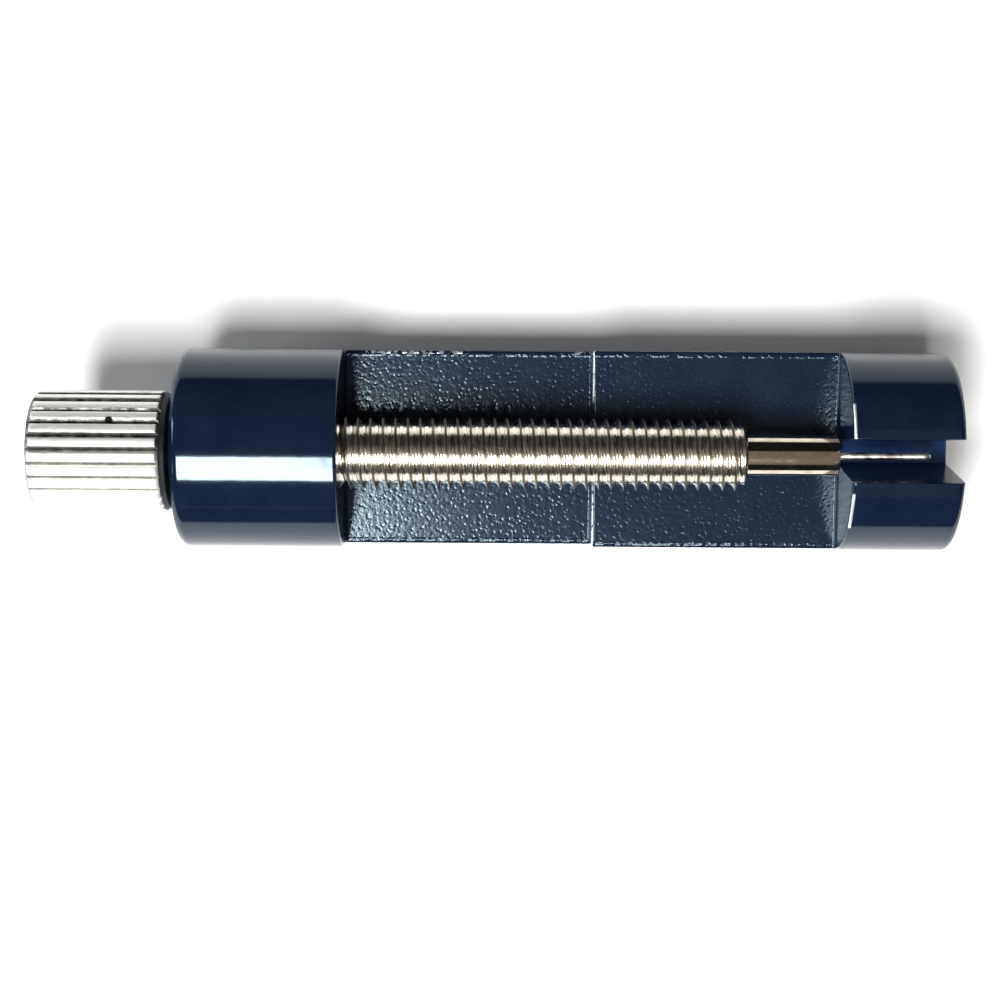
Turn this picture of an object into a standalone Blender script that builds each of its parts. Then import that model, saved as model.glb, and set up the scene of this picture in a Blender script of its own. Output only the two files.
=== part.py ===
"""Screw press that pushes the pins out of watch-bracelet links.

A round cast body holds a tapped ring, a two-level bed and a pair of jaws. A knurled knob turns
a lead screw through the ring, and the screw drives a thin push pin along the slot between the
jaws. X runs along the tool towards the jaws, Z is up out of the bed, and the origin is on the
surface that the tool lies on, under the middle of its length.
"""

import math

import bmesh
import bpy

MM = 0.001
TAU = 2 * math.pi

# Body. Its lengths follow one another from the ring's knob end to the jaws' far end.
BODY_RADIUS = 8.2 * MM
BODY_SIDES = 48
BODY_EDGE_ROUND = 0.6 * MM
RING_LENGTH = 13.3 * MM
LOW_BED_LENGTH = 20.5 * MM
HIGH_BED_LENGTH = 20.4 * MM
JAW_LENGTH = 9.0 * MM
HIGH_BED_LEVEL = 0.0 * MM  # above the body's own axis
BED_STEP = 1.1 * MM
SLOT_TOP_WIDTH = 3.5 * MM
SLOT_FLOOR_WIDTH = 1.9 * MM
SLOT_FLOOR_RISE = 0.2 * MM  # from the high bed up to the slot's floor

# Thread: a coarse metric form, cut right-handed
SCREW_RISE = 3.9 * MM  # from the body's axis up to the screw's
THREAD_RADIUS = 2.9 * MM
THREAD_PITCH = 1.0 * MM
THREAD_SIDES = 16
THREAD_CLEARANCE = 0.12 * MM
THREAD_CHAMFER = 0.6 * MM
FLANK_ANGLE = math.radians(30)
SCREW_PAST_RING = 32.75 * MM

# Knob
KNOB_RADIUS = 4.9 * MM
KNOB_LENGTH = 10.9 * MM
KNOB_GAP = 0.15 * MM  # left between knob and ring with the screw right in
KNOB_FLUTES = 26
FLUTE_DEPTH = 0.35 * MM
FLUTE_HALF_WIDTH = 0.24 * MM
KNOB_CHAMFER = 0.35 * MM
COLLAR_RADIUS = 4.7 * MM
COLLAR_LENGTH = 0.6 * MM
SHANK_RADIUS = 2.2 * MM
SHANK_LENGTH = 7.0 * MM

# Tip sleeve and push pin
SLEEVE_RADIUS = 1.63 * MM
SLEEVE_EXPOSED = 7.55 * MM
SLEEVE_SEATED = 5.0 * MM
SLEEVE_CHAMFER = 0.12 * MM
PIN_RADIUS = 0.32 * MM
PIN_EXPOSED = 7.5 * MM
PIN_HEAD_RADIUS = 0.85 * MM
PIN_HEAD_LENGTH = 1.0 * MM
PIN_TIP_CHAMFER = 0.12 * MM

PRESS_GAP = 0.05 * MM  # all round a piece that is pressed into another
RUNNING_GAP = 0.05 * MM  # all round the push pin
OVERSHOOT = 2.0 * MM  # how far a cutter runs past what it cuts

# Stations along X, from the ring's knob end
RING_END = RING_LENGTH
STEP_X = RING_END + LOW_BED_LENGTH
JAW_X = STEP_X + HIGH_BED_LENGTH
BODY_END = JAW_X + JAW_LENGTH
KNOB_FACE = -KNOB_GAP
KNOB_END = KNOB_FACE - KNOB_LENGTH
SCREW_END = RING_END + SCREW_PAST_RING
SLEEVE_END = SCREW_END + SLEEVE_EXPOSED
PIN_END = SLEEVE_END + PIN_EXPOSED

# Where the two axes lie
MIDDLE_X = (KNOB_END + max(BODY_END, PIN_END)) / 2
BODY_AXIS_Z = BODY_RADIUS * math.cos(math.pi / BODY_SIDES)
SCREW_AXIS_Z = BODY_AXIS_Z + SCREW_RISE


def clear_scene():
    for obj in list(bpy.data.objects):
        bpy.data.objects.remove(obj)


def add_empty(name, location):
    empty = bpy.data.objects.new(name, None)
    empty.location = location
    bpy.context.scene.collection.objects.link(empty)
    return empty


def add_object(name, bm, parent):
    """Makes the bmesh an object that hangs on one of the two axes."""
    bmesh.ops.recalc_face_normals(bm, faces=bm.faces)
    mesh = bpy.data.meshes.new(name)
    bm.to_mesh(mesh)
    bm.free()
    mesh.shade_smooth()
    mesh.set_sharp_from_angle(angle=FLANK_ANGLE)
    obj = bpy.data.objects.new(name, mesh)
    obj.parent = parent
    bpy.context.scene.collection.objects.link(obj)
    return obj


def as_cutter(obj):
    obj.hide_render = True
    obj.display_type = "WIRE"
    return obj


def combine(obj, operation, other):
    """Adds a Boolean that cuts, joins or intersects obj with a hidden helper."""
    as_cutter(other)
    modifier = obj.modifiers.new(f"{operation.lower()}_{other.name}", "BOOLEAN")
    modifier.operation = operation
    modifier.solver = "EXACT"
    modifier.object = other


def finish(obj, name, color, roughness, metallic):
    material = bpy.data.materials.new(name)
    material.use_nodes = True
    shader = material.node_tree.nodes["Principled BSDF"]
    shader.inputs["Base Color"].default_value = (*color, 1.0)
    shader.inputs["Roughness"].default_value = roughness
    shader.inputs["Metallic"].default_value = metallic
    obj.data.materials.append(material)


def ring_of(bm, x, radii):
    """One ring of points about the X axis. With an even count of radii, a flat is at the bottom."""
    sides = len(radii)
    turn = [TAU * (k + 0.5) / sides for k in range(sides)]
    return [
        bm.verts.new((x, radius * math.sin(angle), -radius * math.cos(angle)))
        for angle, radius in zip(turn, radii)
    ]


def skin(bm, rings, closed=False):
    """Bridges rings of equal count, then caps both ends or joins the last ring to the first."""
    following = rings[1:] + rings[:1] if closed else rings[1:]
    for first, second in zip(rings, following):
        count = len(first)
        for k in range(count):
            after = (k + 1) % count
            bm.faces.new((first[k], first[after], second[after], second[k]))
    if not closed:
        bm.faces.new(rings[0])
        bm.faces.new(rings[-1])


def turned(name, parent, stations, sides, closed=False):
    """A piece turned about its parent's axis. The stations are (x, radius) pairs."""
    bm = bmesh.new()
    skin(bm, [ring_of(bm, x, [radius] * sides) for x, radius in stations], closed)
    return add_object(name, bm, parent)


def prism(name, parent, outline, low, high, along):
    """An outline in two axes, carried from low to high along the third, which is 'X' or 'Y'."""
    def point(first, second, at):
        return (at, first, second) if along == "X" else (first, at, second)

    bm = bmesh.new()
    ends = [[bm.verts.new(point(a, b, at)) for a, b in outline] for at in (low, high)]
    skin(bm, ends)
    return add_object(name, bm, parent)


def thread_profile(clearance):
    """(x, radius) of one crest and one root, grown by a clearance square to every surface."""
    crest_half = THREAD_PITCH / 16
    root_half = THREAD_PITCH / 8
    depth = (THREAD_PITCH / 2 - crest_half - root_half) / math.tan(FLANK_ANGLE)
    widening = clearance * (1 / math.cos(FLANK_ANGLE) - math.tan(FLANK_ANGLE))
    crest = THREAD_RADIUS + clearance
    root = crest - depth
    return [
        (-crest_half - widening, crest),
        (crest_half + widening, crest),
        (THREAD_PITCH / 2 - root_half + widening, root),
        (THREAD_PITCH / 2 + root_half - widening, root),
    ]


def thread_root(clearance=0.0):
    return thread_profile(clearance)[-1][1]


def threaded_rod(name, parent, low, high, clearance):
    """A helical rod that covers low to high. Its thread passes x = 0 at the same angle each time."""
    profile = thread_profile(clearance)
    first_turn = math.floor(low / THREAD_PITCH) - 2
    last_turn = math.ceil(high / THREAD_PITCH) + 1
    bm = bmesh.new()
    columns = []
    for side in range(THREAD_SIDES):
        angle = TAU * side / THREAD_SIDES
        lead = THREAD_PITCH * side / THREAD_SIDES
        column = []
        for turn in range(first_turn, last_turn):
            for x, radius in profile:
                at = x + turn * THREAD_PITCH + lead
                column.append(
                    bm.verts.new((at, -radius * math.sin(angle), radius * math.cos(angle)))
                )
        columns.append(column)
    points = len(columns[0])
    starts = columns[0] + [None] * len(profile)
    for side in range(THREAD_SIDES):
        wrap = side == THREAD_SIDES - 1
        here = columns[side]
        there = starts[len(profile):] if wrap else columns[side + 1]
        for k in range(points - 1):
            if there[k] and there[k + 1]:
                bm.faces.new((here[k], here[k + 1], there[k + 1], there[k]))
    cap_rod_end(bm, columns, len(profile), at_start=True)
    cap_rod_end(bm, columns, len(profile), at_start=False)
    return add_object(name, bm, parent)


def cap_rod_end(bm, columns, points_per_turn, at_start):
    """Closes an end of the helical surface with a fan to a point on the axis."""
    if at_start:
        seam = columns[0][1:points_per_turn + 1]
        loop = [column[0] for column in columns] + seam[::-1]
    else:
        seam = columns[-1][-points_per_turn - 1:-1]
        loop = [column[-1] for column in columns] + seam[::-1]
    centre_x = sum(v.co.x for v in loop) / len(loop)
    centre = bm.verts.new((centre_x, 0, 0))
    for a, b in zip(loop, loop[1:] + loop[:1]):
        bm.faces.new((a, b, centre))


def make_body(body_axis, screw_axis):
    """The cast body: a round bar with the bed cut out of its top, a tapped ring and a slot."""
    edge = BODY_EDGE_ROUND
    corner = [
        (edge * (1 - math.cos(turn)), edge * (1 - math.sin(turn)))
        for turn in (math.radians(a) for a in (0, 30, 60, 90))
    ]
    start = [(inset, BODY_RADIUS - drop) for inset, drop in corner]
    end = [(BODY_END - inset, BODY_RADIUS - drop) for inset, drop in reversed(corner)]
    body = turned("tool_body", body_axis, start + end, BODY_SIDES)

    top = BODY_RADIUS + OVERSHOOT
    low_level = HIGH_BED_LEVEL - BED_STEP
    window = [
        (RING_END, low_level),
        (STEP_X, low_level),
        (STEP_X, HIGH_BED_LEVEL),
        (JAW_X, HIGH_BED_LEVEL),
        (JAW_X, top),
        (RING_END, top),
    ]
    combine(body, "DIFFERENCE", prism("window_cutter", body_axis, window, -top, top, "Y"))

    floor = HIGH_BED_LEVEL + SLOT_FLOOR_RISE
    slope = (SLOT_TOP_WIDTH - SLOT_FLOOR_WIDTH) / 2 / (BODY_RADIUS - floor)
    half_floor = SLOT_FLOOR_WIDTH / 2
    half_top = half_floor + slope * (top - floor)
    slot = [(-half_floor, floor), (half_floor, floor), (half_top, top), (-half_top, top)]
    combine(
        body,
        "DIFFERENCE",
        prism("slot_cutter", body_axis, slot, JAW_X - OVERSHOOT, BODY_END + OVERSHOOT, "X"),
    )

    tap = threaded_rod("tap_cutter", screw_axis, 0, RING_END, THREAD_CLEARANCE)
    combine(body, "DIFFERENCE", tap)
    mouth = THREAD_RADIUS + THREAD_CLEARANCE + OVERSHOOT
    depth = mouth - thread_root()
    for name, face, outwards in (("knob_side_sink", 0, -1), ("bed_side_sink", RING_END, 1)):
        rim = face + outwards * (OVERSHOOT - THREAD_CHAMFER)
        cone = sorted([(rim, mouth), (rim - outwards * depth, mouth - depth)])
        combine(body, "DIFFERENCE", turned(name, screw_axis, cone, BODY_SIDES))
    finish(body, "black_paint", (0.012, 0.017, 0.035), 0.22, 0.0)


def make_screw(screw_axis):
    """The lead screw: thread up to the knob, a plain shank inside it and a blind bore in its tip."""
    shank_end = KNOB_FACE - SHANK_LENGTH
    screw = threaded_rod("lead_screw", screw_axis, shank_end, SCREW_END, 0.0)
    outside = THREAD_RADIUS + OVERSHOOT
    chamfer_length = OVERSHOOT + THREAD_CHAMFER
    bore = SLEEVE_RADIUS + PRESS_GAP
    envelope = [
        (shank_end, SHANK_RADIUS),
        (KNOB_FACE + PRESS_GAP, SHANK_RADIUS),
        (KNOB_FACE + PRESS_GAP, outside),
        (SCREW_END - chamfer_length, outside),
        (SCREW_END, outside - chamfer_length),
        (SCREW_END, bore),
        (SCREW_END - SLEEVE_SEATED - PRESS_GAP, bore),
    ]
    combine(screw, "INTERSECT", turned("screw_envelope", screw_axis, envelope, THREAD_SIDES * 2))
    finish(screw, "nickel_thread", (0.72, 0.69, 0.62), 0.25, 1.0)


def make_knob(screw_axis):
    """The knob: straight flutes, a smooth collar towards the ring and a blind bore for the shank."""
    groove = FLUTE_HALF_WIDTH / KNOB_RADIUS
    pitch = TAU / KNOB_FLUTES
    stations = [
        (KNOB_END, KNOB_CHAMFER),
        (KNOB_END + KNOB_CHAMFER, 0.0),
        (KNOB_FACE - COLLAR_LENGTH, 0.0),
    ]
    bm = bmesh.new()
    rings = []
    for x, chamfer in stations:
        ring = []
        for flute in range(KNOB_FLUTES):
            for offset, drop in ((0.0, FLUTE_DEPTH), (groove, 0.0), (pitch - groove, 0.0)):
                angle = flute * pitch + offset
                radius = KNOB_RADIUS - max(drop, chamfer)
                ring.append(bm.verts.new((x, radius * math.sin(angle), radius * math.cos(angle))))
        rings.append(ring)
    skin(bm, rings)
    knob = add_object("knurled_knob", bm, screw_axis)

    overlap = COLLAR_LENGTH / 4
    collar = [
        (KNOB_FACE - COLLAR_LENGTH - overlap, COLLAR_RADIUS),
        (KNOB_FACE, COLLAR_RADIUS),
    ]
    combine(knob, "UNION", turned("knob_collar", screw_axis, collar, BODY_SIDES))
    bore = [
        (KNOB_FACE - SHANK_LENGTH - PRESS_GAP, SHANK_RADIUS + PRESS_GAP),
        (KNOB_FACE + OVERSHOOT, SHANK_RADIUS + PRESS_GAP),
    ]
    combine(knob, "DIFFERENCE", turned("knob_bore", screw_axis, bore, THREAD_SIDES * 2))
    finish(knob, "nickel_knob", (0.80, 0.79, 0.75), 0.28, 1.0)


def make_sleeve(screw_axis):
    """The sleeve in the screw's tip: a running bore for the pin and a counterbore for its head."""
    start = SCREW_END - SLEEVE_SEATED
    hole = PIN_RADIUS + RUNNING_GAP
    seat = PIN_HEAD_RADIUS + RUNNING_GAP
    shoulder = start + PIN_HEAD_LENGTH + 2 * RUNNING_GAP
    section = [
        (start, SLEEVE_RADIUS),
        (SLEEVE_END - SLEEVE_CHAMFER, SLEEVE_RADIUS),
        (SLEEVE_END, SLEEVE_RADIUS - SLEEVE_CHAMFER),
        (SLEEVE_END, hole),
        (shoulder, hole),
        (shoulder, seat),
        (start, seat),
    ]
    sleeve = turned("tip_sleeve", screw_axis, section, THREAD_SIDES * 2, closed=True)
    finish(sleeve, "nickel_sleeve", (0.66, 0.61, 0.54), 0.22, 1.0)


def make_pin(screw_axis):
    """The push pin: a headed needle that the sleeve carries and that need not turn with it."""
    start = SCREW_END - SLEEVE_SEATED + RUNNING_GAP
    stations = [
        (start, PIN_HEAD_RADIUS),
        (start + PIN_HEAD_LENGTH, PIN_HEAD_RADIUS),
        (start + PIN_HEAD_LENGTH, PIN_RADIUS),
        (PIN_END - PIN_TIP_CHAMFER, PIN_RADIUS),
        (PIN_END, PIN_RADIUS - PIN_TIP_CHAMFER),
    ]
    pin = turned("push_pin", screw_axis, stations, THREAD_SIDES)
    finish(pin, "hard_steel", (0.70, 0.68, 0.66), 0.2, 1.0)


def main():
    clear_scene()
    body_axis = add_empty("body_axis", (-MIDDLE_X, 0, BODY_AXIS_Z))
    screw_axis = add_empty("screw_axis", (-MIDDLE_X, 0, SCREW_AXIS_Z))
    make_body(body_axis, screw_axis)
    make_screw(screw_axis)
    make_knob(screw_axis)
    make_sleeve(screw_axis)
    make_pin(screw_axis)
    bpy.context.view_layer.update()


main()
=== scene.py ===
import math

import bmesh
import bpy
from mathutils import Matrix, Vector


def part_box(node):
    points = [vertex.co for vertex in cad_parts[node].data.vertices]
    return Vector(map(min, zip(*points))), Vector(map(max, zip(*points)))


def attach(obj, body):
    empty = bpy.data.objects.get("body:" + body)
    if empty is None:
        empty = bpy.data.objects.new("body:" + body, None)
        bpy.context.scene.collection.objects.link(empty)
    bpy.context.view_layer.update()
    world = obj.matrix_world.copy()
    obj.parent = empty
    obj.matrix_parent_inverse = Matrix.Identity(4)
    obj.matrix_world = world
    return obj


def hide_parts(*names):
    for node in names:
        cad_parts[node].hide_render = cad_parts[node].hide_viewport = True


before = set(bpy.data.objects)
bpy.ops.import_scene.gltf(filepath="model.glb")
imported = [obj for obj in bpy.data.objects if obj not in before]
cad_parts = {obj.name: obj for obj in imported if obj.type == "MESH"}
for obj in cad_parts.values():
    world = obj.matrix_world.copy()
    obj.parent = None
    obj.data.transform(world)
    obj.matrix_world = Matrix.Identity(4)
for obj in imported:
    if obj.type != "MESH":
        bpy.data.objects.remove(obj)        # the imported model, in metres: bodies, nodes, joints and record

mm = 0.001
fullTurn = 2 * math.pi
roundSides = 64    # sides of the plain round pieces and of the round cuts
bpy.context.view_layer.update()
bodyLow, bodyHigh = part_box("tool_body")
screwLow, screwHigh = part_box("lead_screw")
sleeveLow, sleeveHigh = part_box("tip_sleeve")
pinLow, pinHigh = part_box("push_pin")
knobLow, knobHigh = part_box("knurled_knob")
bodyAxis = (bodyLow.z + bodyHigh.z) / 2     # height of the round body's own axis
bodyRadius = (bodyHigh.z - bodyLow.z) / 2
screwAxis = (screwLow.z + screwHigh.z) / 2  # height of the axis that screw, knob, sleeve and pin share
ringStart = bodyLow.x                       # the thread's phase is counted from here


# mesh helpers

def ringAround(bm, x, radii, axis):
    count = len(radii)
    ring = []
    for k, radius in enumerate(radii):
        angle = fullTurn * k / count
        ring.append(bm.verts.new((x, -radius * math.sin(angle), axis + radius * math.cos(angle))))
    return ring


def bridge(bm, first, second):
    count = len(first)
    for k in range(count):
        after = (k + 1) % count
        bm.faces.new((first[k], first[after], second[after], second[k]))


def toObject(name, bm, sharpAngle=32):
    bmesh.ops.recalc_face_normals(bm, faces=bm.faces)
    mesh = bpy.data.meshes.new(name)
    bm.to_mesh(mesh)
    bm.free()
    mesh.shade_smooth()
    mesh.set_sharp_from_angle(angle=math.radians(sharpAngle))
    made = bpy.data.objects.new(name, mesh)
    bpy.context.scene.collection.objects.link(made)
    return made


def turned(name, profile, sides, axis, closed=False):
    # a piece turned about X; the profile is (x, radius) pairs
    bm = bmesh.new()
    rings = [ringAround(bm, x, [radius] * sides, axis) for x, radius in profile]
    for first, second in zip(rings, rings[1:]):
        bridge(bm, first, second)
    if closed:
        bridge(bm, rings[-1], rings[0])
    else:
        bm.faces.new(rings[0])
        bm.faces.new(rings[-1])
    return toObject(name, bm)


def arcCorner(x, radius, size, towards, steps=6):
    # a quarter round between an end face and the outside, from the face to the outside
    points = []
    for k in range(steps + 1):
        angle = math.pi / 2 * k / steps
        inset = size * (1 - math.sin(angle))
        drop = size * (1 - math.cos(angle))
        points.append((x + towards * drop, radius - inset))
    return points


def carve(piece, tool, operation="DIFFERENCE"):
    tool.hide_render = True
    tool.display_type = "WIRE"
    cut = piece.modifiers.new(operation.lower(), "BOOLEAN")
    cut.operation = operation
    cut.solver = "EXACT"
    cut.object = tool


def soften(piece, width, segments, angle):
    edge = piece.modifiers.new("soften", "BEVEL")
    edge.width = width
    edge.segments = segments
    edge.limit_method = "ANGLE"
    edge.angle_limit = math.radians(angle)
    edge.use_clamp_overlap = False
    edge.miter_outer = "MITER_ARC"


def settle(piece):
    # turns the modifiers into plain mesh and clears the tools away
    tools = [m.object for m in piece.modifiers if m.type == "BOOLEAN"]
    depsgraph = bpy.context.evaluated_depsgraph_get()
    mesh = bpy.data.meshes.new_from_object(piece.evaluated_get(depsgraph), depsgraph=depsgraph)
    piece.modifiers.clear()
    piece.data = mesh
    for tool in tools:
        bpy.data.objects.remove(tool)


def mount(piece, body, node, material):
    piece.data.materials.clear()
    piece.data.materials.append(material)
    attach(piece, body)
    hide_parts(node)
    print(f"{piece.name}: {len(piece.data.polygons)} faces")


# shader helpers

class Socket:
    # an output that takes part in sums; each operator adds a Math node
    def __init__(self, paint, link):
        self.paint = paint
        self.link = link

    def math(self, operation, first, second):
        return self.paint.node("ShaderNodeMath", {"operation": operation}, {0: first, 1: second})

    def __add__(self, other):
        return self.math("ADD", self, other)

    def __radd__(self, other):
        return self.math("ADD", other, self)

    def __sub__(self, other):
        return self.math("SUBTRACT", self, other)

    def __rsub__(self, other):
        return self.math("SUBTRACT", other, self)

    def __mul__(self, other):
        return self.math("MULTIPLY", self, other)

    def __rmul__(self, other):
        return self.math("MULTIPLY", other, self)

    def __pow__(self, other):
        return self.math("POWER", self, other)


class Paint:
    # one material and the ways that its nodes are made
    def __init__(self, name):
        self.material = bpy.data.materials.new(name)
        self.material.use_nodes = True
        self.tree = self.material.node_tree
        self.tree.nodes.clear()
        self.place = self.node("ShaderNodeTexCoord", {}, {}, "Object")
        self.axes = self.node("ShaderNodeSeparateXYZ", {}, {0: self.place}).link.node.outputs

    def node(self, kind, settings, values, output=0):
        made = self.tree.nodes.new(kind)
        for name, value in settings.items():
            setattr(made, name, value)
        for key, value in values.items():
            if isinstance(value, Socket):
                self.tree.links.new(value.link, made.inputs[key])
            else:
                made.inputs[key].default_value = value
        return Socket(self, made.outputs[output]) if made.outputs else None

    def axis(self, name):
        return Socket(self, self.axes[name])

    def radiusFrom(self, height):
        # distance from an axis that runs along X at that height
        across = self.axis("Y") ** 2
        up = (self.axis("Z") - height) ** 2
        return (across + up) ** 0.5

    def between(self, value, low, high, fromGrey=0.0, toGrey=1.0):
        # a smooth change from one grey to another as the value goes from low to high
        return self.node("ShaderNodeMapRange", {"interpolation_type": "SMOOTHSTEP"},
                         {"Value": value, "From Min": low, "From Max": high,
                          "To Min": fromGrey, "To Max": toGrey})

    def noise(self, size, detail=3.0, roughness=0.5, stretch=(1, 1, 1)):
        place = self.node("ShaderNodeVectorMath", {"operation": "MULTIPLY"},
                          {0: self.place, 1: stretch})
        return self.node("ShaderNodeTexNoise", {},
                         {"Vector": place, "Scale": 1 / size, "Detail": detail,
                          "Roughness": roughness})

    def cells(self, size, smoothness):
        return self.node("ShaderNodeTexVoronoi", {"feature": "SMOOTH_F1"},
                         {"Vector": self.place, "Scale": 1 / size, "Smoothness": smoothness},
                         "Distance")

    def band(self, value, low, high, blur):
        # 1 between low and high, with soft ends
        rise = self.between(value, low - blur, low + blur)
        return rise * self.between(value, high - blur, high + blur, 1.0, 0.0)

    def mark(self, centre, halfSize, turn=(0, 0, 0)):
        # 1 inside an ellipsoid, 0 outside, with a soft edge
        inside = self.node("ShaderNodeMapping", {"vector_type": "TEXTURE"},
                           {"Vector": self.place, "Location": centre, "Rotation": turn,
                            "Scale": halfSize})
        distance = self.node("ShaderNodeVectorMath", {"operation": "LENGTH"}, {0: inside}, "Value")
        return self.between(distance, 0.7, 1.1, 1.0, 0.0)

    def mix(self, share, first, second):
        # the Mix node has one set of sockets for each kind of value; 6, 7 and 2 are its colours
        ends = [end if isinstance(end, Socket) else (*end, 1.0) for end in (first, second)]
        return self.node("ShaderNodeMix", {"data_type": "RGBA"}, {0: share, 6: ends[0], 7: ends[1]}, 2)

    def bump(self, height, distance, strength=1.0, under=None):
        values = {"Height": height, "Distance": distance, "Strength": strength}
        if under is not None:
            values["Normal"] = under
        return self.node("ShaderNodeBump", {}, values, "Normal")

    def finish(self, values):
        surface = self.node("ShaderNodeBsdfPrincipled", {}, values, "BSDF")
        self.node("ShaderNodeOutputMaterial", {}, {"Surface": surface})
        return self.material


# the thread, which the screw and the tapped bore in the ring share

thread = {
    "pitch": 1.0 * mm,
    "crest": (screwHigh.z - screwLow.z) / 2,
    "depth": 0.541 * mm,
    "sides": 40,
    "samples": 20,      # points from one crest to the next
    "crestFlat": 0.03,  # half the crest's flat, in pitches
    "rootRound": 2.4,   # 1 for straight flanks, more for a rounder root
    "clearance": 0.12 * mm,
}


def threadRadius(phase, clearance):
    # phase is counted in pitches from the crest, which is narrow; the root is wide and round
    flat = thread["crestFlat"]
    share = min(max((abs(phase) - flat) / (0.5 - flat), 0), 1)
    fall = 1 - (1 - share) ** thread["rootRound"]
    return thread["crest"] + clearance - thread["depth"] * fall


def threadedRod(name, low, high, clearance):
    # a right-handed helical rod from below low to above high, in phase with the ring's thread
    samples = thread["samples"]
    first = math.floor((low - ringStart) / thread["pitch"]) - 2
    last = math.ceil((high - ringStart) / thread["pitch"]) + 1
    bm = bmesh.new()
    columns = []
    for side in range(thread["sides"]):
        angle = fullTurn * side / thread["sides"]
        column = []
        for k in range((last - first) * samples):
            phase = (k % samples + 0.5) / samples - 0.5
            radius = threadRadius(phase, clearance)
            pitches = first + k // samples + phase + side / thread["sides"]
            x = ringStart + pitches * thread["pitch"]
            across = -radius * math.sin(angle)
            column.append(bm.verts.new((x, across, screwAxis + radius * math.cos(angle))))
        columns.append(column)
    for here, there in zip(columns, columns[1:] + [columns[0][samples:]]):
        for k in range(len(there) - 1):
            bm.faces.new((here[k], here[k + 1], there[k + 1], there[k]))
    startSeam = columns[0][1:samples + 1]
    endSeam = columns[-1][-samples - 1:-1]
    fan(bm, [column[0] for column in columns] + startSeam[::-1])
    fan(bm, [column[-1] for column in columns] + endSeam[::-1])
    return toObject(name, bm)


def fan(bm, loop):
    # closes a loop with triangles that meet on the screw's axis
    middle = sum(point.co.x for point in loop) / len(loop)
    centre = bm.verts.new((middle, 0, screwAxis))
    for a, b in zip(loop, loop[1:] + loop[:1]):
        bm.faces.new((a, b, centre))


# the cast body

bodyShape = {
    "sides": 160,
    "ringLength": 13.3 * mm,
    "lowBed": 20.5 * mm,
    "highBed": 20.4 * mm,
    "bedStep": 1.1 * mm,
    "slotTop": 3.5 * mm,
    "slotFloor": 1.9 * mm,
    "slotRise": 0.2 * mm,
    "ringEndRound": 0.85 * mm,
    "jawEndRound": 0.6 * mm,
    "edgeRound": 0.26 * mm,
    "slotEdgeRound": 0.08 * mm,
    "sink": 0.6 * mm,        # how deep the countersinks at the thread's ends are
    "past": 2.0 * mm,        # how far a cut runs past the body
}


def bodyStations():
    # where the ring ends, where the bed steps up and where the jaws start
    ringEnd = bodyLow.x + bodyShape["ringLength"]
    step = ringEnd + bodyShape["lowBed"]
    return ringEnd, step, step + bodyShape["highBed"]


def prism(name, outline, low, high, along):
    bm = bmesh.new()
    ends = []
    for at in (low, high):
        corners = [(at, a, b) if along == "X" else (a, at, b) for a, b in outline]
        ends.append([bm.verts.new(corner) for corner in corners])
    bridge(bm, *ends)
    bm.faces.new(ends[0])
    bm.faces.new(ends[1])
    return toObject(name, bm)


def makeBody():
    shape = bodyShape
    ringEnd, step, jaw = bodyStations()
    past = shape["past"]
    profile = arcCorner(bodyLow.x, bodyRadius, shape["ringEndRound"], 1)
    profile += reversed(arcCorner(bodyHigh.x, bodyRadius, shape["jawEndRound"], -1))
    body = turned("castBody", profile, shape["sides"], bodyAxis)

    top = bodyHigh.z + past
    highBed = bodyAxis
    lowBed = highBed - shape["bedStep"]
    window = [(ringEnd, lowBed), (step, lowBed), (step, highBed), (jaw, highBed), (jaw, top),
              (ringEnd, top)]
    wide = bodyRadius + past
    carve(body, prism("windowTool", window, -wide, wide, "Y"))
    soften(body, shape["edgeRound"], segments=4, angle=28)

    floor = highBed + shape["slotRise"]
    slope = (shape["slotTop"] - shape["slotFloor"]) / 2 / (bodyHigh.z - floor)
    foot = shape["slotFloor"] / 2
    mouth = foot + slope * (top - floor)
    slot = [(-foot, floor), (foot, floor), (mouth, top), (-mouth, top)]
    carve(body, prism("slotTool", slot, jaw - past, bodyHigh.x + past, "X"))
    soften(body, shape["slotEdgeRound"], segments=2, angle=35)

    carve(body, threadedRod("tapTool", bodyLow.x, ringEnd, thread["clearance"]))
    rim = thread["crest"] + thread["clearance"] + past
    depth = rim - thread["crest"] + thread["depth"]
    for name, face, outwards in (("knobSink", bodyLow.x, -1), ("bedSink", ringEnd, 1)):
        start = face + outwards * (past - shape["sink"])
        cone = sorted([(start, rim), (start - outwards * depth, rim - depth)])
        carve(body, turned(name, cone, roundSides, screwAxis))
    settle(body)
    flat = body.modifiers.new("flatten", "WEIGHTED_NORMAL")
    flat.keep_sharp = True
    flat.weight = 80
    settle(body)
    roundWall(body)
    return body


def roundWall(body):
    # the cylinder's wall shades as a true round, whatever faces the cuts left on it
    near = 0.004 * mm      # covers how far a flat side's middle lies inside the round
    alike = 0.9            # least cosine between a wall face and the round's own direction
    mesh = body.data
    normals = [Vector(corner.vector) for corner in mesh.corner_normals]
    for face in mesh.polygons:
        for corner in face.loop_indices:
            spot = mesh.vertices[mesh.loops[corner].vertex_index].co
            outwards = Vector((0, spot.y, spot.z - bodyAxis))
            onWall = abs(outwards.length - bodyRadius) < near
            if onWall and face.normal.dot(outwards.normalized()) > alike:
                normals[corner] = outwards.normalized()
    mesh.normals_split_custom_set(normals)


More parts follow.
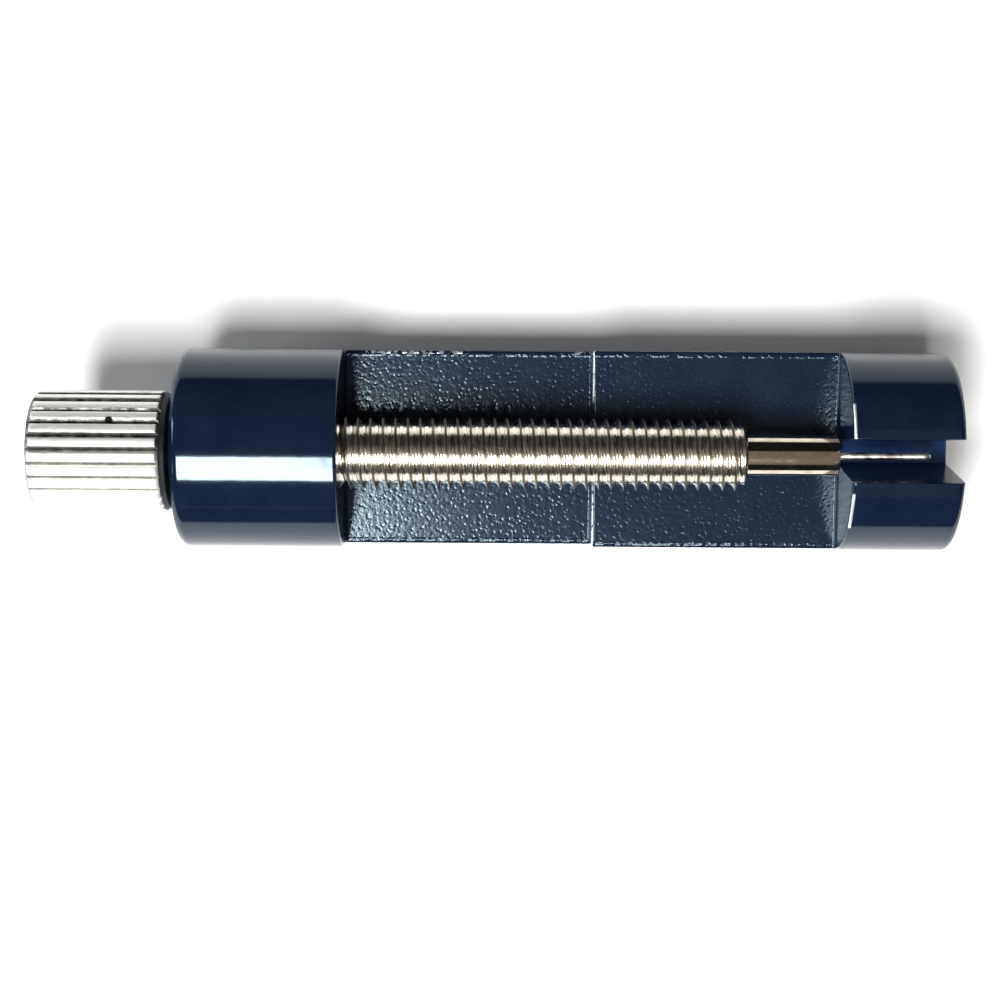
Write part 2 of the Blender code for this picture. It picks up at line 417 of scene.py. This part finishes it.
castPaint = {
    "deep": (0.0038, 0.0078, 0.021),
    "worn": (0.0056, 0.0105, 0.025),
    # painted light: a lighter blue for the slot floor, which lies in shade
    "paintedSlotLight": (0.018, 0.045, 0.145),
    "chip": (0.001, 0.001, 0.0015),
    "paintedGlintMetal": (0.86, 0.88, 0.90),
    "peelSize": 0.42 * mm,
    "peelHeight": 0.021 * mm,
    "waveSize": 1.3 * mm,
    "waveHeight": 0.010 * mm,
    "castRim": (0.45 * mm, 0.12 * mm),   # how far inside the wall the cast skin fades out
    "beadRim": (0.46 * mm, 0.26 * mm),   # how far inside the wall the bead lies
    "beadSize": 0.45 * mm,
    "beadHeight": 0.030 * mm,  # of the paint's thick line just inside the rims
    "speckSize": 0.16 * mm,
    "patchSize": 3.2 * mm,
    "smooth": 0.07,            # roughness of the round wall
    "cast": 0.14,              # roughness of the beds and faces
    "nickPlace": (-15.3 * mm, -6.9 * mm, bodyAxis + 4.5 * mm),
    "nickSize": (0.62 * mm, 0.10 * mm, 0.5 * mm),
    "nickTurn": (math.radians(40), 0, math.radians(-32)),
    "nickDepth": 0.08 * mm,
}

# painted highlights, drawn as bare bright metal along the edges where the highlights fall
paintedGlint = {
    "breakSize": 0.55 * mm,
    "fleckSize": 0.40 * mm,
    "stepWidth": 0.13 * mm,
    "inScrewShadow": (-3.1 * mm, 4.1 * mm),   # across the tool, where the screw's shadow falls on the step and its painted highlight is left out
    "jawEdge": (0.03 * mm, 0.22 * mm),     # along the tool, from the jaws' face
    "leftJaw": (1.2 * mm, 4.4 * mm),       # across the tool
    "rightJaw": (-5.6 * mm, -2.7 * mm),
    "rim": (0.30 * mm, 0.08 * mm),         # how far inside the wall the low bed's flecks lie
    "nearFlecks": (1.8 * mm, 10 * mm),     # along the tool, from the ring
    "farFlecks": (1.5 * mm, 0.2 * mm),     # along the tool, short of the step
    "blur": 0.02 * mm,
}


def makePaintedGlints(paint, fromAxis):
    # painted highlights: lines and flecks of bare bright metal along the edges of step, jaws and low bed
    # where the highlights fall, left out where the screw's shadow falls on the step
    ringEnd, step, jaw = bodyStations()
    blur = paintedGlint["blur"]
    x, y, z = (paint.axis(name) for name in "XYZ")
    broken = paint.between(paint.noise(paintedGlint["breakSize"], 3.0, 0.6), 0.38, 0.46)
    aboveLow = paint.between(z, bodyAxis - 0.35 * mm, bodyAxis - 0.25 * mm)
    onStep = paint.band(x, step - 0.01 * mm, step + paintedGlint["stepWidth"], blur) * aboveLow
    # no painted highlight across the stretch of the step where the screw's shadow falls
    onStep = onStep * (1.0 - paint.band(y, *paintedGlint["inScrewShadow"], 0.3 * mm)) * broken
    onTop = paint.band(fromAxis, bodyRadius - 0.17 * mm, bodyRadius + 0.1 * mm, blur)
    jawStart, jawStop = paintedGlint["jawEdge"]
    onJaw = paint.band(x, jaw + jawStart, jaw + jawStop, blur) * onTop
    left = paint.band(y, *paintedGlint["leftJaw"], 0.1 * mm)
    right = paint.band(y, *paintedGlint["rightJaw"], 0.1 * mm)
    onJaw = onJaw * (left + right) * paint.between(z, bodyAxis + 2 * mm, bodyAxis + 3 * mm)
    inner, outer = paintedGlint["rim"]
    onRim = paint.band(fromAxis, bodyRadius - inner, bodyRadius - outer, blur)
    flecks = paint.between(paint.noise(paintedGlint["fleckSize"], 3.0, 0.6), 0.50, 0.56)
    nearStart, nearStop = paintedGlint["nearFlecks"]
    near = paint.band(x, ringEnd + nearStart, ringEnd + nearStop, 0.5 * mm)
    farStart, farStop = paintedGlint["farFlecks"]
    far = paint.band(x, step - farStart, step - farStop, 0.1 * mm)
    onRim = onRim * flecks * (near + far) * paint.between(y, 5 * mm, 6 * mm)
    onRim = onRim * paint.between(z, bodyAxis + 0.2 * mm, bodyAxis + 0.3 * mm, 1.0, 0.0)
    return paint.node("ShaderNodeClamp", {}, {"Value": onStep + onJaw + onRim})


def makeCastPaint():
    look = castPaint
    paint = Paint("blueBlackCastPaint")
    fromAxis = paint.radiusFrom(bodyAxis)
    inner, outer = look["castRim"]
    cast = paint.between(fromAxis, bodyRadius - inner, bodyRadius - outer, 1.0, 0.0)
    pits = paint.between(paint.cells(look["peelSize"], 0.3), 0.05, 0.45)
    peel = pits * 0.4 + paint.noise(look["peelSize"] * 0.8) * 0.7
    wave = paint.noise(look["waveSize"], 1.0)
    speck = paint.noise(look["speckSize"], 4.0, 0.6)
    inner, outer = look["beadRim"]
    edge = paint.band(fromAxis, bodyRadius - inner, bodyRadius - outer, 0.08 * mm)
    bead = edge * paint.between(paint.noise(look["beadSize"], 2.0), 0.42, 0.60)
    # worn holds the painted highlight lines and flecks of bare bright metal
    worn = makePaintedGlints(paint, fromAxis)
    nick = paint.mark(look["nickPlace"], look["nickSize"], look["nickTurn"])
    outside = paint.bump(wave, look["waveHeight"], 0.5)
    height = peel * cast * look["peelHeight"] + bead * look["beadHeight"] - nick * look["nickDepth"]
    rough = paint.bump(height, 1.0, 1.0, outside)
    patch = paint.between(paint.noise(look["patchSize"], 5.0, 0.62), 0.35, 0.7)
    sound = paint.mix(patch, look["deep"], look["worn"])
    jaw = bodyStations()[2]
    # painted light: the slot floor between the jaws, which lies in shade, is made a lighter blue
    inSlot = paint.between(paint.axis("X"), jaw + 0.1 * mm, jaw + 0.6 * mm)
    paintedSlotLight = paint.between(fromAxis, 0.9 * mm, 2.2 * mm, 1.0, 0.0) * inSlot
    painted = paint.mix(nick, paint.mix(paintedSlotLight, sound, look["paintedSlotLight"]), look["chip"])
    # the painted highlights are mixed in as bare bright metal
    colour = paint.mix(worn, painted, look["paintedGlintMetal"])
    return paint.finish({
        "Base Color": colour,
        "Roughness": look["smooth"] + speck * 0.04 + cast * (look["cast"] - look["smooth"])
        + worn * 0.30,
        "Metallic": worn,
        "IOR": 1.46,
        "Specular Tint": (0.72, 0.90, 1.0, 1.0),
        "Normal": rough,
    })


# the lead screw

screwShape = {
    "shankRadius": 2.2 * mm,
    "shankEnd": screwLow.x,
    "shoulder": knobHigh.x,
    "chamfer": 0.6 * mm,
    "seated": 5.0 * mm,      # how far the sleeve's bore goes into the screw
    "fitGap": 0.05 * mm,
}


def makeScrew():
    shape = screwShape
    screw = threadedRod("leadScrew", shape["shankEnd"], screwHigh.x, 0.0)
    past = bodyShape["past"]
    outside = thread["crest"] + past
    bore = (sleeveHigh.z - sleeveLow.z) / 2 + shape["fitGap"]
    reach = past + shape["chamfer"]
    envelope = [
        (shape["shankEnd"], shape["shankRadius"]),
        (shape["shoulder"] + shape["fitGap"], shape["shankRadius"]),
        (shape["shoulder"] + shape["fitGap"], outside),
        (screwHigh.x - reach, outside),
        (screwHigh.x, outside - reach),
        (screwHigh.x, bore),
        (screwHigh.x - shape["seated"], bore),
    ]
    carve(screw, turned("screwEnvelope", envelope, roundSides, screwAxis), "INTERSECT")
    settle(screw)
    screw.data.set_sharp_from_angle(angle=math.radians(50))
    return screw


nickelThread = {
    "plate": (0.86, 0.82, 0.74),
    "grimeAndPaintedShade": (0.055, 0.042, 0.034),
    "roughness": 0.18,
    "rootDirt": (0.03 * mm, 0.32 * mm),    # heights above the root over which its dirt fades out
    "paintedFlankShade": (0.27 * mm, 0.43 * mm),   # and over which the painted shade of the upper flanks sets in
    "mottleSize": 0.9 * mm,
    "scratchSize": 0.10 * mm,
    "scratchDepth": 0.003 * mm,
}


def makeThreadNickel():
    look = nickelThread
    paint = Paint("nickelOnThread")
    fromAxis = paint.radiusFrom(screwAxis)
    root = thread["crest"] - thread["depth"]
    low, high = look["rootDirt"]
    inGroove = paint.between(fromAxis, root + low, root + high, 1.0, 0.0)
    mottle = paint.between(paint.noise(look["mottleSize"], 4.0, 0.6), 0.35, 0.75)
    low, high = look["paintedFlankShade"]
    onFlank = paint.between(fromAxis, root + low, root + high)
    # painted shade darkens the upper flanks by the crests; the roots get a little dirt
    dirtAndPaintedShade = inGroove * (0.02 + mottle * 0.10) + onFlank * 0.9
    colour = paint.mix(dirtAndPaintedShade, look["plate"], look["grimeAndPaintedShade"])
    scratch = paint.noise(look["scratchSize"], 3.0, 0.6, (0.25, 1, 1))
    return paint.finish({
        "Base Color": colour,
        "Metallic": 1.0,
        "Roughness": look["roughness"] + mottle * 0.08 + onFlank * 0.10,
        "Normal": paint.bump(scratch, look["scratchDepth"], 0.25),
    })


# the knob

knobShape = {
    "flutes": 26,
    "perFlute": 12,
    "radius": 4.9 * mm,
    "fluteDepth": 0.34 * mm,
    "fluteHalf": 0.28 * mm,
    "crown": 0.10 * mm,       # how far a land's sides lie below its middle
    "chamfer": 0.42 * mm,
    "innerChamfer": 0.26 * mm,
    "collarRadius": 4.74 * mm,
    "collarFoot": 4.56 * mm,  # the collar's radius at its end face
    "collarLength": 0.45 * mm,
    "collarRound": 0.12 * mm,
    "collarNeck": 0.25 * mm,  # how far the collar starts below its full radius
    "collarRise": 0.05 * mm,
    "rowLength": 0.35 * mm,
    "boreRadius": 2.25 * mm,
    "boreDepth": 7.0 * mm,
}


def fluteRadius(share, chamferDrop):
    # share runs from 0 at one groove's middle to 1 at the next one's
    shape = knobShape
    pitch = fullTurn * shape["radius"] / shape["flutes"]
    away = min(share, 1 - share) * pitch
    climb = min(away / shape["fluteHalf"], 1)
    groove = shape["fluteDepth"] * (1 - climb) ** 1.3
    crown = shape["crown"] * (2 * share - 1) ** 2
    return shape["radius"] - max(groove + crown, chamferDrop)


def makeKnob():
    shape = knobShape
    count = shape["flutes"] * shape["perFlute"]
    start = knobLow.x
    collar = knobHigh.x - shape["collarLength"]
    steps = 5
    rows = []
    for k in range(steps + 1):
        rows.append((start + shape["chamfer"] * k / steps, shape["chamfer"] * (1 - k / steps)))
    length = collar - start - shape["chamfer"] - shape["innerChamfer"]
    middle = round(length / shape["rowLength"])
    for k in range(1, middle):
        rows.append((start + shape["chamfer"] + length * k / middle, 0.0))
    for k in range(steps + 1):
        drop = shape["innerChamfer"] * k / steps
        rows.append((collar - shape["innerChamfer"] + drop, drop))
    bm = bmesh.new()
    rings = []
    for x, drop in rows:
        radii = [fluteRadius((k / shape["perFlute"] + 0.5) % 1.0, drop) for k in range(count)]
        rings.append(ringAround(bm, x, radii, screwAxis))
    around = arcCorner(knobHigh.x, shape["collarFoot"], shape["collarRound"], -1, 3)
    plain = [(collar, shape["collarRadius"] - shape["collarNeck"])]
    plain += [(collar + shape["collarRise"], shape["collarRadius"])]
    plain += reversed(around)
    plain += [(knobHigh.x, shape["boreRadius"])]
    plain += [(knobHigh.x - shape["boreDepth"], shape["boreRadius"])]
    for x, radius in plain:
        rings.append(ringAround(bm, x, [radius] * count, screwAxis))
    for first, second in zip(rings, rings[1:]):
        bridge(bm, first, second)
    bm.faces.new(rings[0])
    bm.faces.new(rings[-1])
    return toObject("knurledKnob", bm, 40)


nickelKnob = {
    "plate": (0.86, 0.85, 0.81),
    "grimeAndPaintedShade": (0.014, 0.012, 0.012),
    "collar": (0.07, 0.08, 0.10),
    "chip": (0.004, 0.004, 0.004),
    "roughness": 0.42,
    "haze": 0.26,                      # how much of the plate outside the shaded grooves, the collar and the ding has gone milky
    "shadedSide": (-0.9 * mm, 1.4 * mm),   # across the knob, where the side whose grooves get the wide painted shade starts
    "ragged": 0.09 * mm,
    "mottleSize": 0.7 * mm,
    "drawnSize": 0.14 * mm,
    "drawnDepth": 0.010 * mm,
    "dingPlace": (-30.6 * mm, 2.85 * mm, screwAxis + 3.8 * mm),
    "dingSize": (0.36 * mm, 0.30 * mm, 0.6 * mm),
}


def makeKnobNickel():
    look = nickelKnob
    paint = Paint("nickelOnKnurl")
    fromAxis = paint.radiusFrom(screwAxis)
    side = knobShape["radius"] - knobShape["crown"]
    # painted shade in the grooves: on the -Y side only their bottoms are darkened, on the +Y side they are
    # darkened up to the ragged edges of the lands
    narrow = paint.between(fromAxis, side - 0.20 * mm, side - 0.04 * mm, 1.0, 0.0)
    ragged = paint.noise(0.35 * mm, 3.0, 0.6) * look["ragged"] - look["ragged"] / 2
    wide = paint.between(fromAxis + ragged, side - 0.01 * mm, side + 0.09 * mm, 1.0, 0.0)
    shadedSide = paint.between(paint.axis("Y"), *look["shadedSide"])
    inFlute = wide * shadedSide + narrow * (1.0 - shadedSide) * 0.7
    mottle = paint.between(paint.noise(look["mottleSize"], 5.0, 0.65), 0.3, 0.75)
    lands = paint.mix(inFlute * (0.75 + mottle * 0.25), look["plate"], look["grimeAndPaintedShade"])
    collarStart = knobHigh.x - knobShape["collarLength"]
    onCollar = paint.between(paint.axis("X"), collarStart - 0.02 * mm, collarStart + 0.02 * mm)
    ding = paint.mark(look["dingPlace"], look["dingSize"])
    colour = paint.mix(ding, paint.mix(onCollar, lands, look["collar"]), look["chip"])
    drawn = paint.noise(look["drawnSize"], 3.0, 0.6, (0.12, 1, 1))
    unshadedLands = (1.0 - inFlute) * (1.0 - onCollar) * (1.0 - ding)
    return paint.finish({
        "Base Color": colour,
        "Metallic": 1.0 - unshadedLands * look["haze"],
        "Roughness": look["roughness"] + mottle * 0.14,
        "Normal": paint.bump(drawn, look["drawnDepth"], 0.6),
    })


# the tip sleeve and the push pin

sleeveShape = {
    "radius": (sleeveHigh.z - sleeveLow.z) / 2,
    "edge": 0.14 * mm,
    "hole": 0.37 * mm,
    "holeEdge": 0.08 * mm,
    "seat": 0.9 * mm,        # radius of the counterbore for the pin's head
    "seatDepth": 1.1 * mm,
}


def makeSleeve():
    shape = sleeveShape
    shoulder = sleeveLow.x + shape["seatDepth"]
    edge = shape["holeEdge"]
    section = [(sleeveLow.x, shape["radius"])]
    section += reversed(arcCorner(sleeveHigh.x, shape["radius"], shape["edge"], -1, 4))
    section += [(sleeveHigh.x, shape["hole"] + edge), (sleeveHigh.x - edge, shape["hole"]),
                (shoulder, shape["hole"]), (shoulder, shape["seat"]), (sleeveLow.x, shape["seat"])]
    return turned("tipSleeve", section, roundSides, screwAxis, closed=True)


sleeveNickel = {
    "plate": (0.74, 0.66, 0.55),
    "tarnish": (0.52, 0.43, 0.33),
    "roughness": 0.09,
    "blotchSize": 0.8 * mm,
    "lathedSize": 0.09 * mm,
    "lathedDepth": 0.003 * mm,
}


def makeSleeveNickel():
    look = sleeveNickel
    paint = Paint("turnedSleeveNickel")
    lathed = paint.noise(look["lathedSize"], 3.0, 0.6, (1, 0.08, 0.08))
    blotch = paint.between(paint.noise(look["blotchSize"], 5.0, 0.65), 0.35, 0.75)
    colour = paint.mix(blotch, look["plate"], look["tarnish"])
    return paint.finish({
        "Base Color": colour,
        "Metallic": 1.0,
        "Roughness": look["roughness"] + blotch * 0.09,
        "Normal": paint.bump(lathed, look["lathedDepth"], 0.4),
    })


pinShape = {
    "radius": 0.32 * mm,
    "headRadius": 0.85 * mm,
    "headLength": 1.0 * mm,
    "point": 0.30 * mm,      # length of the worn tip
    "worn": ((0.08 * mm, 0.62), (0.0, 0.35)),   # distance from the end, and share of the radius
    "waver": 0.012 * mm,     # how much the ground shaft's radius varies
    "swings": (37.0, 11.0),  # angles that its two waves run through over the shaft
    "rows": 60,
    "sides": 32,
}


def makePin():
    shape = pinShape
    neck = pinLow.x + shape["headLength"]
    profile = [(pinLow.x, shape["headRadius"]), (neck, shape["headRadius"])]
    shaft = pinHigh.x - shape["point"] - neck
    quick, slow = shape["swings"]
    for k in range(shape["rows"] + 1):
        along = k / shape["rows"]
        waver = shape["waver"] * math.sin(along * quick) * math.sin(along * slow + 0.7)
        profile.append((neck + shaft * along, shape["radius"] + waver - shape["waver"]))
    profile += [(pinHigh.x - back, shape["radius"] * share) for back, share in shape["worn"]]
    return turned("pushPin", profile, shape["sides"], screwAxis)


pinSteel = {
    "ground": (0.97, 0.94, 0.92),
    "spots": (0.60, 0.54, 0.52),
    "roughness": 0.42,
    "spotSize": 0.7 * mm,
    "groundSize": 0.12 * mm,
    "groundDepth": 0.006 * mm,
}


def makePinSteel():
    look = pinSteel
    paint = Paint("groundPinSteel")
    ground = paint.noise(look["groundSize"], 3.0, 0.6, (1, 0.2, 0.2))
    spots = paint.between(paint.noise(look["spotSize"], 4.0, 0.6), 0.4, 0.7)
    colour = paint.mix(spots, look["ground"], look["spots"])
    return paint.finish({
        "Base Color": colour,
        "Metallic": 1.0,
        "Roughness": look["roughness"] - spots * 0.14,
        "Normal": paint.bump(ground, look["groundDepth"], 0.6),
    })


# floor, light and camera

table = {
    "dull": (0.78, 0.78, 0.785),
    "pale": (0.81, 0.81, 0.81),
    "grain": 9 * mm,
    "roughness": 0.7,
    "half": 1.5,             # half its width, in metres
    "gap": 0.02 * mm,        # how far it lies under the tool
}


def makeFloor():
    paint = Paint("paleTable")
    grain = paint.between(paint.noise(table["grain"], 4.0, 0.6), 0.3, 0.7)
    colour = paint.mix(grain, table["dull"], table["pale"])
    material = paint.finish({"Base Color": colour, "Roughness": table["roughness"]})
    corners = [(-1, -1), (1, -1), (1, 1), (-1, 1)]
    bm = bmesh.new()
    bm.faces.new([bm.verts.new((x * table["half"], y * table["half"], 0)) for x, y in corners])
    floor = toObject("paleFloor", bm)
    floor.location.z = bodyLow.z - table["gap"]
    floor.data.materials.append(material)
    print("floor laid")


# sizes and places in metres; glow is what a lamp's face gives off, whatever its size
lights = {
    "panel": {"place": (-0.130, -0.179, 0.50), "size": (0.148, 0.262), "glow": 39.0,
              "colour": (1.0, 1.0, 0.985), "aim": False},
    "strip": {"place": (0.011, -0.235, 0.50), "size": (0.134, 0.150), "glow": 24.0,
              "colour": (1.0, 1.0, 0.985), "aim": False},
    "window": {"place": (-1.15, 0.05, 0.38), "size": (0.9, 0.40), "glow": 8.5,
               "colour": (0.95, 0.98, 1.0), "aim": True},
    "ceiling": {"place": (0.29, -0.22, 0.80), "size": (0.62, 1.35), "glow": 0.20,
                "colour": (1.0, 0.86, 0.74), "aim": False},
    "bar": {"place": (-0.33, -0.95, 0.43), "size": (0.60, 0.025), "glow": 0.6,
            "colour": (1.0, 0.80, 0.66), "aim": True},
}

room = {"colour": (0.80, 0.88, 1.0, 1.0), "strength": 0.012}


def makeLights():
    for name, facts in lights.items():
        lamp = bpy.data.lights.new(name, "AREA")
        lamp.shape = "RECTANGLE"
        lamp.size, lamp.size_y = facts["size"]
        lamp.energy = facts["glow"] * math.pi * lamp.size * lamp.size_y
        lamp.color = facts["colour"]
        made = bpy.data.objects.new(name, lamp)
        made.location = facts["place"]
        if facts["aim"]:
            made.rotation_euler = Vector(facts["place"]).to_track_quat("Z", "Y").to_euler()
        bpy.context.scene.collection.objects.link(made)
    world = bpy.data.worlds.new("room")
    world.use_nodes = True
    background = world.node_tree.nodes["Background"]
    background.inputs["Color"].default_value = room["colour"]
    background.inputs["Strength"].default_value = room["strength"]
    bpy.context.scene.world = world
    print(f"{len(lights)} lamps hung")


view = {
    "place": (0.00125, 0.01558, 0.1700),
    "turnDegrees": (-7.0, -0.736, 0.459),
    "lens": 70.53,
    "sensor": 36,
    "shift": -0.04,
    "reach": (0.005, 10),    # nearest and farthest that it sees, in metres
}


def makeCamera():
    camera = bpy.data.cameras.new("overhead")
    camera.lens = view["lens"]
    camera.sensor_width = view["sensor"]
    camera.shift_x = view["shift"]
    camera.clip_start, camera.clip_end = view["reach"]
    made = bpy.data.objects.new("overhead", camera)
    made.location = view["place"]
    made.rotation_euler = [math.radians(a) for a in view["turnDegrees"]]
    bpy.context.scene.collection.objects.link(made)
    bpy.context.scene.camera = made
    print("camera set")


# putting it together

mount(makeBody(), "frame", "tool_body", makeCastPaint())
mount(makeScrew(), "screw", "lead_screw", makeThreadNickel())
mount(makeKnob(), "screw", "knurled_knob", makeKnobNickel())
mount(makeSleeve(), "screw", "tip_sleeve", makeSleeveNickel())
mount(makePin(), "pin", "push_pin", makePinSteel())
makeFloor()
makeLights()
makeCamera()
bpy.context.scene.view_settings.view_transform = "Standard"
